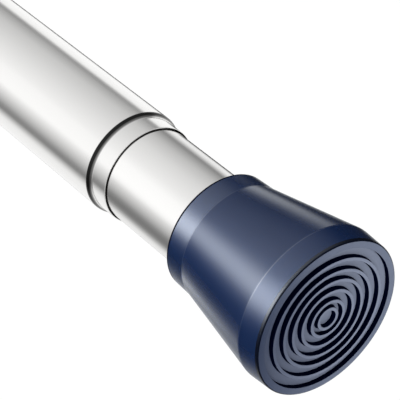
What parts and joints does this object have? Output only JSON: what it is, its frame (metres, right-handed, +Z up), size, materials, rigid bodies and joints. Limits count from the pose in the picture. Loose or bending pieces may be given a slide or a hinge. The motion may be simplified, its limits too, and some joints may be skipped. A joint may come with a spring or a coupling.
{
  "type": "spring tension rod",
  "caption": "Telescopic tension rod: necked steel outer tube, sliding inner tube, ribbed rubber feet, inner spring and twist-locking eccentric cam.",
  "frame": {"origin": "centre of the fixed foot's wall face, on the rod's axis", "axes": "+X along the rod from the fixed foot towards the sliding tube's foot, +Z up as the rod hangs between two walls"},
  "size_m": [0.4302, 0.0408, 0.0408],
  "materials": {
    "tube_steel": "bright polished stainless steel",
    "navy_rubber": "smooth moulded, slightly glossy",
    "black_nylon": "moulded",
    "white_nylon": "moulded",
    "plain_steel": "zinc plated",
    "spring_steel": "drawn wire"
  },
  "bodies": {
    "outer": {"outer_tube": "tube_steel", "far_foot": "navy_rubber", "far_end_plug": "black_nylon"},
    "carrier": {"friction_bush": "white_nylon"},
    "spindle": {"spindle": "plain_steel", "spring_washer": "plain_steel", "spindle_nut": "plain_steel", "spring": "spring_steel", "thrust_washer": "plain_steel", "cam_core": "black_nylon", "cam_pin": "plain_steel", "end_washer": "plain_steel", "end_screw": "plain_steel"},
    "ring": {"lock_ring": "white_nylon"},
    "inner": {"inner_tube": "tube_steel", "near_foot": "navy_rubber", "near_end_plug": "black_nylon", "guide_plug": "white_nylon", "guide_pin_front": "plain_steel", "guide_pin_back": "plain_steel", "spring_stop": "white_nylon", "stop_pin": "plain_steel"}
  },
  "joints": [
    {"name": "extend", "type": "slide", "parent": "outer", "child": "carrier", "axis": [1, 0, 0], "range_m": [-0.007, 0.22]},
    {"name": "lock_twist", "type": "hinge", "parent": "carrier", "child": "spindle", "pos_m": [0, 0, 0], "axis": [1, 0, 0], "range_deg": [0, 45]},
    {"name": "ring_hold", "type": "hinge", "parent": "spindle", "child": "ring", "pos_m": [0.042, 0, 0.0006], "axis": [1, 0, 0], "range_deg": [-45, 0]},
    {"name": "spring_travel", "type": "slide", "parent": "spindle", "child": "inner", "axis": [1, 0, 0], "range_m": [-0.02, 0], "stiffness_N_per_m": 2640, "springref_m": 0.015, "deforming": ["spring"]}
  ],
  "couplings": [
    {"joint": "ring_hold", "follows": "lock_twist", "ratio": -1}
  ]
}
